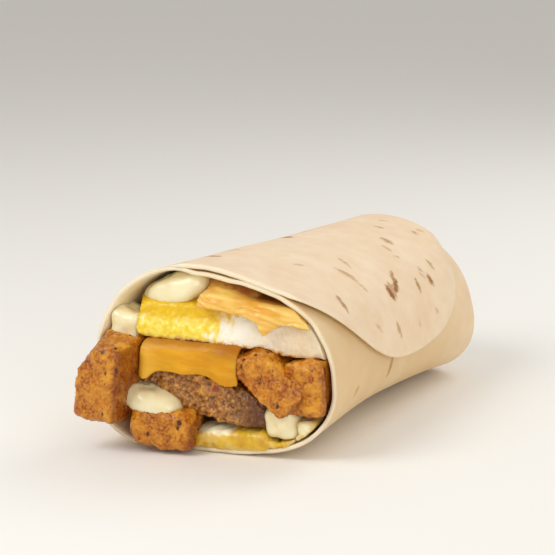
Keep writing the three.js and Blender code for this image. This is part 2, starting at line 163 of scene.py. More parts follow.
def roughen(piece, size, depth, group="", middle=0.5, kind="CLOUDS"):
    texture = bpy.data.textures.new(piece.name + kind.title(), kind)
    texture.noise_scale = size * mm
    finishWith(
        piece, "DISPLACE", texture=texture, texture_coords="LOCAL", strength=depth * mm,
        mid_level=middle, vertex_group=group,
    )


def shareFinish(piece, material, node):
    onlySelect(piece)
    bpy.ops.object.shade_smooth()
    piece.data.materials.clear()
    piece.data.materials.append(material)
    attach(piece, "root")
    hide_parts(node)


# The camera, the floor and the light

camera = bpy.data.objects.new("camera", bpy.data.cameras.new("camera"))
bpy.context.collection.objects.link(camera)
camera.location = Vector(view["place"]) * mm
camera.rotation_euler = (math.radians(90 - view["dip"]), 0, math.radians(view["turn"]))
camera.data.lens = view["lens"]
camera.data.sensor_width = view["sensor"]
camera.data.clip_end = view["farthest"] * mm
bpy.context.scene.camera = camera
bpy.context.scene.view_settings.view_transform = "Standard"


def softLight(name, size, power, place):
    lamp = bpy.data.objects.new(name, bpy.data.lights.new(name, "AREA"))
    bpy.context.collection.objects.link(lamp)
    lamp.data.shape = "DISK"
    lamp.data.size = size * mm
    lamp.data.energy = power
    lamp.location = Vector(place) * mm
    towards = Vector(light["aim"]) * mm - lamp.location
    lamp.rotation_euler = towards.to_track_quat("-Z", "Y").to_euler()


for lampName, lampShape in lamps.items():
    softLight(lampName, *lampShape)

world = bpy.data.worlds.new("studio")
bpy.context.scene.world = world
world.use_nodes = True
sky = world.node_tree.nodes["Background"].inputs
sky["Color"].default_value = light["skyTone"]
sky["Strength"].default_value = light["sky"]

bpy.ops.mesh.primitive_plane_add(size=ground["size"] * mm)
floor = bpy.context.object
floor.name = "floor"
print("camera, floor and light are set")


# Nodes for the finishes

def tone(red, green, blue):  # a screen colour, 0 to 255, as the shader needs it
    linear = [
        c / 12.92 if c <= 0.04045 else ((c + 0.055) / 1.055) ** 2.4
        for c in (red / 255, green / 255, blue / 255)
    ]
    return (*linear, 1)


def addNode(tree, kind, inputs=None, **settings):
    made = tree.nodes.new("ShaderNode" + kind)
    for name, value in settings.items():
        setattr(made, name, value)
    for name, value in (inputs or {}).items():
        if isinstance(value, bpy.types.NodeSocket):
            tree.links.new(value, made.inputs[name])
        else:
            made.inputs[name].default_value = value
    return made


def count(tree, operation, first, second=0.0):
    return addNode(tree, "Math", {0: first, 1: second}, operation=operation).outputs[0]


def remap(tree, value, low, high, toLow=0.0, toHigh=1.0):
    inputs = {"Value": value, "From Min": low, "From Max": high, "To Min": toLow, "To Max": toHigh}
    return addNode(tree, "MapRange", inputs, interpolation_type="SMOOTHSTEP").outputs[0]


def both(tree, first, second):  # where both masks hold
    return count(tree, "MULTIPLY", first, second)


def stretched(tree, vector, scale, turn=(0, 0, 0)):
    inputs = {"Vector": vector, "Scale": scale, "Rotation": turn}
    return addNode(tree, "Mapping", inputs, vector_type="TEXTURE").outputs[0]


def newGroup(name, values, output):  # every group reads a vector and some values
    group = bpy.data.node_groups.new(name, "ShaderNodeTree")
    sockets = group.interface
    sockets.new_socket(name="Vector", in_out="INPUT", socket_type="NodeSocketVector")
    for label, value in values.items():
        socket = sockets.new_socket(name=label, in_out="INPUT", socket_type="NodeSocketFloat")
        socket.default_value = value
    sockets.new_socket(name=output, in_out="OUTPUT", socket_type="NodeSocketFloat")
    given = group.nodes.new("NodeGroupInput").outputs
    return group, given, group.nodes.new("NodeGroupOutput").inputs


def useGroup(tree, group, inputs):
    return addNode(tree, "Group", inputs, node_tree=group).outputs[0]


def mottleGroup():  # soft cloudy patches with finer ones inside, 0 to 1
    group, given, result = newGroup("mottle", {"Patch": 8.0, "Contrast": 0.3}, "Mask")
    scale = count(group, "DIVIDE", perMetre, given["Patch"])
    wide = addNode(group, "TexNoise", {"Vector": given["Vector"], "Scale": scale, "Detail": 4.0})
    low = count(group, "SUBTRACT", 0.5, given["Contrast"])
    high = count(group, "ADD", 0.5, given["Contrast"])
    group.links.new(remap(group, wide.outputs[0], low, high), result[0])
    return group


specking = {
    "raggedScale": 900.0,
    "push": 0.0011,
    "stretch": (0.7, 0.7, 1.5),
    "turn": (0.5, 0.3, 0.0),
    "core": 0.6,
}


def speckGroup():  # scattered specks with ragged edges, 0 to 1
    values = {"Spacing": 2.0, "Size": 0.3, "Share": 0.3}
    group, given, result = newGroup("specks", values, "Mask")
    place, size = given["Vector"], given["Size"]
    scale = count(group, "DIVIDE", perMetre, given["Spacing"])
    inputs = {"Vector": place, "Scale": specking["raggedScale"], "Detail": 3.0}
    ragged = addNode(group, "TexNoise", inputs)
    inputs = {0: ragged.outputs[1], 1: (specking["push"],) * 3}
    push = addNode(group, "VectorMath", inputs, operation="MULTIPLY")
    moved = addNode(group, "VectorMath", {0: place, 1: push.outputs[0]}, operation="ADD")
    longer = stretched(group, moved.outputs[0], specking["stretch"], specking["turn"])
    cells = addNode(group, "TexVoronoi", {"Vector": longer, "Scale": scale})
    near = remap(group, cells.outputs["Distance"], size, both(group, size, specking["core"]))
    pick = addNode(group, "SeparateColor", {0: cells.outputs["Color"]})
    chosen = count(group, "LESS_THAN", pick.outputs[0], given["Share"])
    group.links.new(both(group, near, chosen), result[0])
    return group


def grainGroup():  # height of a fine crumbly surface, 0 to 1
    group, given, result = newGroup("grain", {"Grain": 0.8, "Crumb": 0.5}, "Height")
    scale = count(group, "DIVIDE", perMetre, given["Grain"])
    inputs = {"Vector": given["Vector"], "Scale": scale}
    cells = addNode(group, "TexVoronoi", inputs, feature="SMOOTH_F1")
    fine = addNode(group, "TexNoise", {**inputs, "Detail": 5.0})
    rounded = count(group, "SUBTRACT", 1.0, cells.outputs["Distance"])
    inputs = {0: given["Crumb"], 2: fine.outputs[0], 3: rounded}
    group.links.new(addNode(group, "Mix", inputs).outputs[0], result[0])
    return group


mottle = mottleGroup()
specks = speckGroup()
grain = grainGroup()
surface = {"scatter": 0.003, "coatGloss": 0.12}


class Finish:  # a material with its tree, its shader, its object coordinates and its tones
    def __init__(self, name, gloss, soft=0.0, reach=(1.0, 0.6, 0.3), coat=0.0, shine=0.5, tones=None):
        self.tones = tones
        self.material = bpy.data.materials.new(name)
        self.material.use_nodes = True
        self.tree = self.material.node_tree
        self.shader = self.tree.nodes["Principled BSDF"]
        self.place = addNode(self.tree, "TexCoord").outputs["Object"]
        values = {
            "Roughness": gloss, "Specular IOR Level": shine,
            "Subsurface Weight": soft, "Subsurface Radius": reach, "Subsurface Scale": surface["scatter"],
            "Coat Weight": coat, "Coat Roughness": surface["coatGloss"],
        }
        for name, value in values.items():
            self.set(name, value)

    def set(self, name, value):
        if isinstance(value, bpy.types.NodeSocket):
            self.tree.links.new(value, self.shader.inputs[name])
        else:
            self.shader.inputs[name].default_value = value

    def axis(self, which):
        return addNode(self.tree, "SeparateXYZ", {0: self.place}).outputs[which]

    def painted(self, name):
        return addNode(self.tree, "Attribute", attribute_name=name).outputs["Fac"]

    def patches(self, patch, contrast=0.2, vector=None):
        inputs = {"Vector": vector or self.place, "Patch": patch, "Contrast": contrast}
        return useGroup(self.tree, mottle, inputs)

    def specked(self, spacing, size, share):
        inputs = {"Vector": self.place, "Spacing": spacing, "Size": size, "Share": share}
        return useGroup(self.tree, specks, inputs)

    def grained(self, size, crumb=0.5):
        return useGroup(self.tree, grain, {"Vector": self.place, "Grain": size, "Crumb": crumb})

    def mixed(self, share, first, second):  # a tone is given by its name
        first, second = [tone(*self.tones[c]) if isinstance(c, str) else c for c in (first, second)]
        inputs = {0: share, 6: first, 7: second}
        return addNode(self.tree, "Mix", inputs, data_type="RGBA").outputs[2]

    def between(self, share, name):  # the two tones of a pair
        first, second = [tone(*c) for c in self.tones[name]]
        return self.mixed(share, first, second)

    def aside(self, middle, far, near):  # 1 near a place across the roll, 0 far from it
        off = count(self.tree, "SUBTRACT", self.axis(0), middle * mm)
        return remap(self.tree, count(self.tree, "ABSOLUTE", off), *metres(far, near))

    def bump(self, *layers):  # each layer is a height and how deep it is in millimetres
        normal = None
        for height, depth in layers:
            inputs = {"Height": height, "Distance": depth * mm, "Strength": 1.0}
            if normal:
                inputs["Normal"] = normal
            normal = addNode(self.tree, "Bump", inputs).outputs[0]
        self.set("Normal", normal)


floorFinish = Finish("paleFloor", ground["gloss"])
floorFinish.set("Base Color", tone(*ground["tone"]))
floor.data.materials.append(floorFinish.material)


# The shape of the roll, from its named sizes

roll = {
    "halfWidth": 35, "halfHeight": 26, "squareness": 2.6, "length": 110,
    "backWidth": 0.911, "backHeight": 0.926,
    "waistWidth": 0.0285, "waistHeight": 0.023,
    "waistDrift": -1.5, "backDrift": -3, "flattened": 0.5,
    "cutAcross": 0.209, "cutUp": 0.049,
    "place": (0.23, -52.388, 0),  # the middle of the open end, on the table
}
lopsided = {  # front, waist, back
    "lean": (-0.013, 0, 0.013),
    "sideSwell": (0.031, 0.015, 0.013),
    "shoulder": (-0.051, 0.031, -0.087),
}
tuck = {
    "depth": 13.8, "squareness": 2.5,
    "pleats": 5, "pleatDepth": 1.5, "twist": 0.55, "uneven": 0.22, "ridge": 0.3,
    "pleatsStart": (0.12, 0.45), "pleatsEnd": (0.8, 1),
}


def waist(along):
    return 4 * along * (1 - along)


def swell(name, along):
    front, middle, back = lopsided[name]
    return mix(front, back, along) + middle * waist(along)


def sectionRadius(angle, along):
    n = roll["squareness"]
    across = np.abs(np.cos(angle) / roll["halfWidth"]) ** n
    up = np.abs(np.sin(angle) / roll["halfHeight"]) ** n
    uneven = (
        swell("lean", along) * np.sin(2 * angle)
        + swell("sideSwell", along) * np.cos(3 * angle)
        + swell("shoulder", along) * np.sin(3 * angle)
    )
    return (across + up) ** (-1 / n) * (1 + uneven)


def widthShare(along):
    return 1 - roll["waistWidth"] * waist(along) + (roll["backWidth"] - 1) * along


def heightShare(along):
    return 1 - roll["waistHeight"] * waist(along) + (roll["backHeight"] - 1) * along


def drift(along):
    return roll["waistDrift"] * waist(along) + roll["backDrift"] * along * along


def lowestPoints():  # how far the section reaches below its centre, at 101 places along the roll
    alongs = np.linspace(0, 1, 101)
    angles = np.radians(-np.arange(180))
    depths = [-(sectionRadius(angles, a) * np.sin(angles) * heightShare(a)).min() for a in alongs]
    return alongs, np.array(depths)


restAlongs, restDepths = lowestPoints()


def pleatDepth(angle, closeness):
    turn = angle / (2 * math.pi) * tuck["pleats"] + tuck["twist"] * closeness
    turn = turn + tuck["uneven"] * np.sin(2 * angle + 1)
    share = turn - np.floor(turn)
    folded = smooth(0, tuck["ridge"], share) * fading(tuck["ridge"], 1, share)
    shown = smooth(*tuck["pleatsStart"], closeness) * fading(*tuck["pleatsEnd"], closeness)
    return tuck["pleatDepth"] * folded * shown


def rollPoints(angle, station, inset):
    along = np.minimum(station, 1)
    closeness = np.maximum(station - 1, 0)
    over = closeness * math.pi / 2
    below = inset + pleatDepth(angle, closeness)
    radius = sectionRadius(angle, along)
    x = radius * np.cos(angle) * widthShare(along)
    z = radius * np.sin(angle) * heightShare(along)
    kept = 1 - below / np.hypot(x, z)
    narrowing = np.maximum(np.cos(over), 0) ** (2 / tuck["squareness"])
    bulge = (tuck["depth"] - below) * np.sin(over) ** (2 / tuck["squareness"])
    setback = (1 - along) ** 2 * (roll["cutAcross"] * x + roll["cutUp"] * z) * kept
    rest = np.interp(along, restAlongs, restDepths)
    across = x * kept * narrowing + drift(along)
    back = along * roll["length"] + bulge + setback
    height = z * kept * narrowing + rest - roll["flattened"] * (1 - waist(along))
    return np.stack([across, back, np.maximum(height, inset)], axis=-1) + np.array(roll["place"])


def fillingPoint(x, depth, z):  # x and z are read on the open end's plane, depth is behind it
    along = np.clip(depth / roll["length"], 0, 1)
    setback = roll["cutAcross"] * x + roll["cutUp"] * (z - roll["halfHeight"])
    y = depth + setback * (1 - along) ** 2
    return np.array([x * widthShare(along) + drift(along), y, z * heightShare(along)]) + roll["place"]


def keepInside(piece):  # nothing pokes through the sheet
    points = readPoints(piece)
    inside = points - np.array(roll["place"])
    along = np.clip(inside[:, 1] / roll["length"], 0, 1)
    middle = np.interp(along, restAlongs, restDepths) - roll["flattened"] * (1 - waist(along))
    x = (inside[:, 0] - drift(along)) / widthShare(along)
    z = (inside[:, 2] - middle) / heightShare(along)
    angle = np.arctan2(z, x)
    taken = underFlap(angle, inside[:, 1]) + sheet["thickness"] + sheet["margin"]
    room = sectionRadius(angle, along) - taken
    share = np.minimum(1, room / np.maximum(np.hypot(x, z), 1))
    kept = mix(1, share, smooth(*sheet["keptBehind"], depthOf(points)))
    points[:, 0] = x * kept * widthShare(along) + drift(along) + roll["place"][0]
    points[:, 2] = z * kept * heightShare(along) + middle
    movePoints(piece, points)


# The tortilla: one sheet rolled round the filling and tucked at the back, and the last turn of it
# over the top as a flap

sheet = {
    "thickness": 1.3, "margin": 0.05,
    "keptBehind": (-3, 0),
    "startAngle": 90,  # the sheet starts under the flap
    "around": 190, "along": 116, "capArc": 40, "weld": 0.02,
    "rimShare": 0.85, "rimThins": 4,
    "rimWaves": ((3, 0.7, 0.48), (7, 2, 0.288), (17, 0, 0.168), (31, 1, 0.096)),  # times, shift, size
    "waveReach": 0.04,
    "dentSize": (17, 34), "dentDepth": 0.5, "dentRadius": 28, "dentsEnd": (1.5, 2),
    "paleRim": 1.2,
    "paleFrom": (112, 150),  # degrees, where the side starts to take the flap's tone: painted light on the side turned to the key light
    "paleTo": (190, 225),
    "paleBack": (78, 112), "paleBackShare": 0.7,
}
flap = {
    "around": 112, "along": 98, "crowding": 1.15,
    "radius": 30, "thickness": 1.25, "length": 117,
    "lowestAngle": -10.3, "lowestAt": 67.6,
    "frontRise": 31, "frontReach": 55, "frontPower": 2.3,
    "backRise": 60, "backReach": 46.5, "backPower": 3.5,
    "edgeShare": 0.5, "edgeThins": 3, "endThins": 5,
    "edgeLift": 1.0, "liftRun": 8, "liftEnds": (38, 62),
    "pressed": 0.85, "pressedRun": 10, "pressedFrom": (64, 84), "pressedUnder": (36, 54),
    "rootAngle": 182, "rootAtRim": 128, "rimRuns": (5, 30),
    "rootSinks": (20, 9),  # degrees before the root, and over how many
    "rootDepth": (0.9, 0.12),  # along the roll and at the rim
    "rootDeepens": 6, "rootThinned": 0.2, "rootSetback": (0.3, 12),
    "sleeveRises": (28, 12), "underFrom": (-70, -25),
    "slitFrom": 66, "slitTo": 122, "slitSoft": 14, "slitDepth": 9, "slitGap": 0.75,
    "waveRun": 4, "paleEdge": 0.3, "paleEnds": (55, 75),
}
toasted = [  # angle, share of the way along, length, width, tilt of the length, how dark
    (76.5, 0.87, 4.2, 1.7, 5, 0.6),
    (58.5, 0.78, 4.8, 2.6, -6, 0.75),
    (52, 0.725, 3.9, 1.1, -5, 0.5),
    (42.8, 0.716, 2, 1.3, 42, 0.45),
    (52.8, 0.464, 7.8, 1.2, -23, 0.5),
    (43.5, 0.389, 8.2, 2.4, 2, 0.6),
    (32, 0.384, 4.2, 0.9, 2, 0.5),
    (28.5, 0.209, 5.8, 1.9, -19, 0.85),
    (31, 0.589, 6.4, 1.4, -46, 0.9),
    (25.2, 0.555, 10, 1.9, -64, 1.1),
    (23.5, 0.511, 4.6, 3.2, -13, 1.2),
    (30.8, 0.848, 3.7, 1.3, 3, 0.7),
    (30.2, 0.77, 1.7, 1.1, -23, 0.5),
    (26.5, 0.757, 1.9, 1, 8, 0.45),
    (22.2, 0.789, 3.6, 2.1, -14, 1),
    (21.8, 0.698, 4.8, 1.5, -17, 0.85),
    (10.5, 0.339, 4, 1.4, 50, 0.35),
    (4.8, 0.477, 4.3, 1.6, 27, 0.65),
    (5.2, 0.764, 2.6, 0.9, 55, 0.35),
    (3, 0.63, 2, 1, 15, 0.3),
    (57, 0.952, 2.6, 1.5, 13, 0.6),
    (58, 0.989, 2.4, 1, 37, 0.5),
    (65.2, 0.282, 3.6, 1.5, 52, 0.4),
    (82.8, 0.945, 2.7, 1.3, 30, 0.5),
    (-14.8, 0.186, 3.4, 1.5, 109, 0.5),
    (24.4, 0.53, 5.6, 3.4, -38, 0.7),
]
toasting = {
    "sideRadius": 31, "spread": 0.22, "outside": -3.0, "lining": 5, "refined": 1.0, "refinedCuts": 2,
}
unseenSpots = {
    "seed": 11, "count": 46, "angles": (100, 318), "shares": (0.04, 1.2),
    "length": (2, 8), "width": (1, 2.8), "tilt": (-60, 60), "dark": (0.35, 1.1),
}
crease = {
    "from": (-7, 0.446), "to": (-18.5, 0.43), "halfWidth": 1.1, "narrowing": 0.7,
    "past": 1.5, "outside": 9, "refined": 1.6,
}


def flapEdge(distance):
    away = distance - flap["lowestAt"]
    front = flap["frontRise"] * (np.maximum(-away, 0) / flap["frontReach"]) ** flap["frontPower"]
    back = flap["backRise"] * (np.maximum(away, 0) / flap["backReach"]) ** flap["backPower"]
    return np.radians(flap["lowestAngle"] + front + back)


def flapRoot(distance):  # where the flap runs into the sheet, in degrees
    return mix(flap["rootAngle"], flap["rootAtRim"], fading(*flap["rimRuns"], distance))


def underFlap(angle, distance):
    turned = np.mod(np.degrees(angle) + 90, 360) - 90
    before, run = flap["sleeveRises"]
    rising = smooth(0, 1, (turned - flapRoot(distance) + before) / run)
    return sheet["thickness"] * smooth(*flap["underFrom"], turned) * (1 - rising)


def inSlit(turned, distance):
    start, end, soft = flap["slitFrom"], flap["slitTo"], flap["slitSoft"]
    opened = smooth(start, start + soft, turned) * fading(end - soft, end, turned)
    return opened * fading(0, flap["slitDepth"], distance)


def rimWave(angle):
    return sum(size * np.sin(times * angle + shift) for times, shift, size in sheet["rimWaves"])


def stationAt(distance):
    share = np.clip((distance - roll["length"]) / tuck["depth"], 0, 1)
    over = 1 + np.arcsin(share ** (tuck["squareness"] / 2)) / (math.pi / 2)
    return np.where(distance <= roll["length"], distance / roll["length"], over)


def dents(angle, distance):  # soft hollows, the same for both layers of the sheet
    across, along = sheet["dentSize"]
    radius = sheet["dentRadius"] / across
    spots = [
        (math.cos(a) * radius, math.sin(a) * radius, d / along)
        for a, d in zip(angle, distance)
    ]
    return sheet["dentDepth"] * np.array([noise.noise(Vector(s)) for s in spots])


def flatSheet(name, across, along):
    bpy.ops.mesh.primitive_grid_add(x_subdivisions=across, y_subdivisions=along, size=1)
    piece = bpy.context.object
    piece.name = name
    shares = readPoints(piece) * mm + 0.5
    return piece, shares[:, 0], shares[:, 1]


def thicken(piece, thickness, shares):
    weigh(piece, "thickness", shares)
    piece.vertex_groups.new(name="inside")
    finishWith(
        piece, "SOLIDIFY", thickness=thickness * mm, offset=-1, vertex_group="thickness",
        shell_vertex_group="inside",
    )
    paint(piece, "lining", readWeights(piece, "inside"))


def makeSleeve():
    piece, acrossShare, alongShare = flatSheet("tortillaSheet", sheet["around"], sheet["along"])
    angle = acrossShare * 2 * math.pi + math.radians(sheet["startAngle"])
    travelled = alongShare * (roll["length"] + sheet["capArc"])
    station = np.where(
        travelled < roll["length"],
        travelled / roll["length"],
        1 + (travelled - roll["length"]) / sheet["capArc"],
    )
    turned = np.degrees(angle)
    sag = flap["slitGap"] / 2 * inSlit(np.mod(turned, 360), travelled)
    dented = dents(angle, travelled) * fading(*sheet["dentsEnd"], station)
    points = rollPoints(angle, station, underFlap(angle, travelled) + dented + sag)
    points[:, 1] += rimWave(angle) * fading(0, sheet["waveReach"], station)
    points[:, 2] = np.maximum(points[:, 2], 0)
    movePoints(piece, points)
    paint(piece, "turned", turned)
    paint(piece, "travelled", travelled)
    # a painted highlight along the cut front rim
    paint(piece, "rim", fading(0, sheet["paleRim"], travelled))
    # the side turned to the key light takes the flap's lighter tone and the rest keeps the darker under
    # tone: painted shade on the side turned away from the light, partly the yellower colour of the steamed
    # sheet; towards the back end the side is lighter too
    litSide = smooth(*sheet["paleFrom"], turned) * fading(*sheet["paleTo"], turned)
    atBack = sheet["paleBackShare"] * smooth(*sheet["paleBack"], travelled)
    paint(piece, "flap", np.maximum(litSide, atBack))
    editAll(piece)
    bpy.ops.mesh.remove_doubles(threshold=sheet["weld"] * mm)
    bpy.ops.mesh.normals_make_consistent(inside=False)
    backToObject()
    fromRim = smooth(0, sheet["rimThins"], readPaint(piece, "travelled"))
    thicken(piece, sheet["thickness"], mix(sheet["rimShare"], 1, fromRim))
    return piece


def makeFlap():
    piece, acrossShare, alongShare = flatSheet("flapSheet", flap["around"], flap["along"])
    distance = alongShare * flap["length"]
    edge, root = flapEdge(distance), flapRoot(distance)
    angle = mix(np.radians(root), edge, 1 - (1 - acrossShare) ** flap["crowding"])
    turned = np.degrees(angle)
    fromEdge = np.abs(angle - edge) * flap["radius"]
    lifted = flap["edgeLift"] * fading(0, flap["liftRun"], fromEdge)
    lifted *= fading(*flap["liftEnds"], distance)
    pressed = flap["pressed"] * fading(0, flap["pressedRun"], fromEdge)
    pressed *= smooth(*flap["pressedFrom"], distance) * fading(*flap["pressedUnder"], turned)
    before, run = flap["rootSinks"]
    atRoot = smooth(0, 1, (turned - root + before) / run)
    deep, shallow = flap["rootDepth"]
    sunk = mix(shallow, deep, smooth(0, flap["rootDeepens"], distance)) * atRoot
    gap = flap["slitGap"] / 2 * inSlit(turned, distance)
    inset = sunk + pressed - lifted - gap + dents(angle, distance)
    points = rollPoints(angle, stationAt(distance), inset)
    points[:, 1] += rimWave(angle) * fading(0, flap["waveRun"], distance)
    setback, reach = flap["rootSetback"]
    points[:, 1] += setback * atRoot * fading(0, reach, distance)
    movePoints(piece, points)
    paint(piece, "turned", turned)
    paint(piece, "travelled", distance)
    # a painted highlight along the flap's free edge and along the front rim
    paleEdge = flap["paleEdge"] * fading(0, sheet["paleRim"], fromEdge)
    paleEdge *= fading(*flap["paleEnds"], distance)
    paint(piece, "rim", np.maximum(fading(0, sheet["paleRim"], distance), paleEdge))
    paint(piece, "flap", np.ones(len(turned)))
    editAll(piece)
    bpy.ops.mesh.normals_make_consistent(inside=False)
    backToObject()
    if readNormals(piece)[len(piece.data.vertices) // 2, 2] < 0:
        piece.data.flip_normals()
    inward = np.minimum(fromEdge / flap["edgeThins"], (flap["length"] - distance) / flap["endThins"])
    shares = mix(flap["edgeShare"], 1, smooth(0, 1, inward)) * mix(1, flap["rootThinned"], atRoot)
    thicken(piece, flap["thickness"], shares)
    return piece


def allSpots():
    rng = np.random.default_rng(unseenSpots["seed"])
    spans = [unseenSpots[name] for name in ("angles", "shares", "length", "width", "tilt", "dark")]
    return toasted + [[rng.uniform(*span) for span in spans] for _ in range(unseenSpots["count"])]


def toastField(turned, travelled):  # how far inside the nearest spot in millimetres, and its darkness
    field = np.full(len(turned), toasting["outside"])
    darkness = np.zeros(len(turned))
    for angle, share, length, width, tilt, dark in allSpots():
        off = np.mod(turned - angle + 180, 360) - 180
        down = -np.radians(off) * toasting["sideRadius"]
        along = travelled - share * roll["length"]
        turn = math.radians(tilt)
        lengthways = down * math.cos(turn) + along * math.sin(turn)
        crossways = -down * math.sin(turn) + along * math.cos(turn)
        share = np.hypot(lengthways / (length / 2), crossways / (width / 2))
        reach = np.hypot(lengthways, crossways) / np.maximum(share, 1)
        inside = (1 - share) * np.where(share < 1, width / 2, reach) + toasting["spread"]
        darkness = np.where(inside > field, dark, darkness)
        field = np.maximum(field, inside)
    return field, darkness


def creaseMarks(turned, travelled):  # how far from the crease in millimetres, more past its ends
    radius = toasting["sideRadius"]
    (startAngle, startShare), (endAngle, endShare) = crease["from"], crease["to"]
    start = np.array([math.radians(startAngle) * radius, startShare * roll["length"]])
    end = np.array([math.radians(endAngle) * radius, endShare * roll["length"]])
    way = (end - start) / np.linalg.norm(end - start)
    off = np.mod(turned + 180, 360) - 180
    spot = np.stack([np.radians(off) * radius, travelled], axis=-1) - start
    along = spot @ way
    across = np.abs(spot @ np.array([-way[1], way[0]]))
    length = np.linalg.norm(end - start)
    past = np.maximum(0, np.maximum(-along, along - length))
    narrowing = crease["narrowing"] * (2 * along / length - 1) ** 2
    return np.minimum(across + narrowing + crease["past"] * past, crease["outside"])


def highestOnFaces(piece, values):
    loops = np.empty(len(piece.data.loops), dtype=np.int32)
    piece.data.loops.foreach_get("vertex_index", loops)
    starts = np.empty(len(piece.data.polygons), dtype=np.int32)
    piece.data.polygons.foreach_get("loop_start", starts)
    return np.maximum.reduceat(values[loops], starts)


def marksOn(piece):
    turned, travelled = readPaint(piece, "turned"), readPaint(piece, "travelled")
    inside, darkness = toastField(turned, travelled)
    inside -= toasting["lining"] * readPaint(piece, "lining")
    fromCrease = creaseMarks(turned, travelled) + crease["outside"] * readPaint(piece, "under")
    return inside, darkness, fromCrease


def makeTortilla():
    piece = makeSleeve()
    over = makeFlap()
    paint(piece, "under", readPaint(piece, "lining"))
    paint(over, "under", np.ones(len(over.data.vertices)))
    onlySelect(piece, over)
    bpy.ops.object.join()
    inside, darkness, fromCrease = marksOn(piece)
    near = np.maximum(inside + toasting["refined"], crease["refined"] - fromCrease)
    selectFaces(piece, highestOnFaces(piece, near) > 0)
    bpy.ops.mesh.subdivide(number_cuts=toasting["refinedCuts"])
    backToObject()
    print("the sheet has", len(piece.data.polygons), "faces")
    inside, darkness, fromCrease = marksOn(piece)
    paint(piece, "toast", inside)
    paint(piece, "darkness", darkness)
    paint(piece, "crease", fromCrease)
    return piece


# The under tones are darker than the over tones: painted shade on the lower side turned away from the key
# light, and partly the yellower colour of the sheet steamed by the filling
sheetTones = {
    "under": ((223, 190, 140), (229, 201, 155)),
    "over": ((239, 212, 178), (244, 222, 192)),
    "scorched": ((180, 138, 90), (150, 96, 46)),
    # the rim tone is a painted highlight along the cut edges
    "floury": (224, 192, 150), "lining": (249, 236, 204), "rim": (248, 234, 206),
    "halo": (212, 172, 118), "crease": (170, 114, 68),
}


def tortillaFinish():
    look = Finish("softTortilla", 0.6, soft=0.25, reach=(0.3, 0.2, 0.12), shine=0.3, tones=sheetTones)
    tree = look.tree
    # the darker under tone where the sheet turns away from the key light is painted shade, partly a steamed
    # yellower colour
    under = look.between(look.patches(15, 0.25), "under")
    over = look.between(look.patches(15, 0.25), "over")
    layer = look.mixed(look.painted("flap"), under, over)
    floury = look.mixed(both(tree, look.patches(5, 0.25), 0.3), layer, "floury")
    lining = look.mixed(look.painted("lining"), floury, "lining")
    # the pale rim tone is a painted highlight along the cut edges
    white = look.mixed(both(tree, look.painted("rim"), 0.6), lining, "rim")
    inputs = {"Vector": look.place, "Scale": 620.0, "Detail": 5.0, "Roughness": 0.65}
    ragged = addNode(tree, "TexNoise", inputs).outputs[0]
    shaky = remap(tree, ragged, 0.3, 0.7, -0.55, 0.55)
    depth = count(tree, "ADD", look.painted("toast"), shaky)
    dark = look.painted("darkness")
    halo = both(tree, remap(tree, depth, -0.85, 0.2), both(tree, dark, 0.5))
    heart = both(tree, remap(tree, depth, -0.25, 0.75), count(tree, "MINIMUM", dark, 1.0))
    haloed = look.mixed(halo, white, "halo")
    scorched = look.between(remap(tree, dark, 0.7, 1.2), "scorched")
    spotted = look.mixed(heart, haloed, scorched)
    wide, narrow = crease["halfWidth"] * 1.5, crease["halfWidth"] * 0.3
    line = remap(tree, look.painted("crease"), wide, narrow)
    look.set("Base Color", look.mixed(both(tree, line, 0.7), spotted, "crease"))
    look.bump(
        (look.patches(8, 0.4), 0.1),
        (look.grained(1.1, 0.3), 0.03),
        (count(tree, "SUBTRACT", 1.0, line), 0.25),
    )
    return look.material


shareFinish(makeTortilla(), tortillaFinish(), "tortilla")
print("the tortilla is rolled")


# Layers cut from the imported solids: a copy is merged, evened out and refined where it shows

layers = {"weld": 0.01, "evened": 0.5}


def layerFrom(node, name, voxel, softening):
    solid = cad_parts[node]
    piece = bpy.data.objects.new(name, solid.data.copy())
    bpy.context.collection.objects.link(piece)
    editAll(piece)
    bpy.ops.mesh.remove_doubles(threshold=layers["weld"] * mm)
    backToObject()
    finishWith(piece, "REMESH", mode="VOXEL", voxel_size=voxel * mm)
    finishWith(piece, "SMOOTH", factor=layers["evened"], iterations=softening)
    return piece


def depthOf(points):  # how far behind the open end's plane
    x, y, z = (points - np.array(roll["place"])).T
    setback = roll["cutAcross"] * x + roll["cutUp"] * (z - roll["halfHeight"])
    return y - setback


def refineFront(piece, depth, cuts=1):
    centres = readAll(piece.data.polygons, "center") / mm
    selectFaces(piece, depthOf(centres) < depth)
    bpy.ops.mesh.subdivide(number_cuts=cuts)
    backToObject()


# The fried egg: yolk on the left, white on the right, a browned edge below

egg = {
    "voxel": 0.8, "softening": 3, "front": 7, "bottom": 31, "bottomFall": 4,
    "lumps": (7, 1.2), "pores": (1.3, 0.5), "lip": 2.2, "yolkReach": 3,
    "shadeFrom": (6, 26), "shadeShare": 0.6,
}
eggTones = {
    "yolk": ((246, 227, 104), (240, 205, 26)),
    "deepYolk": ((228, 183, 6), (236, 197, 16)),
    "white": ((252, 247, 234), (247, 236, 212)),
    "streak": (252, 244, 196), "shade": (226, 198, 148),
    "warm": (226, 172, 84), "singed": (112, 54, 20),
}


def makeFriedEgg():
    piece = layerFrom("fried_egg", "friedEgg", egg["voxel"], egg["softening"])
    refineFront(piece, egg["front"], 2)
    weigh(piece, "shown", fading(3, 8, depthOf(readPoints(piece))))
    roughen(piece, *egg["lumps"], "shown")
    roughen(piece, *egg["pores"], "shown")
    keepInside(piece)
    points = readPoints(piece)
    x = points[:, 0] - roll["place"][0]
    bottom = egg["bottom"] - egg["bottomFall"] * smooth(-8, 38, x)
    overCheese = fading(1, 9, points[:, 2] - bottom) * fading(4, 14, x)
    overCheese *= fading(2, 7, depthOf(points))
    points[:, 1] -= egg["lip"] * overCheese
    movePoints(piece, points)
    paint(piece, "low", points[:, 2] - bottom)
    return piece


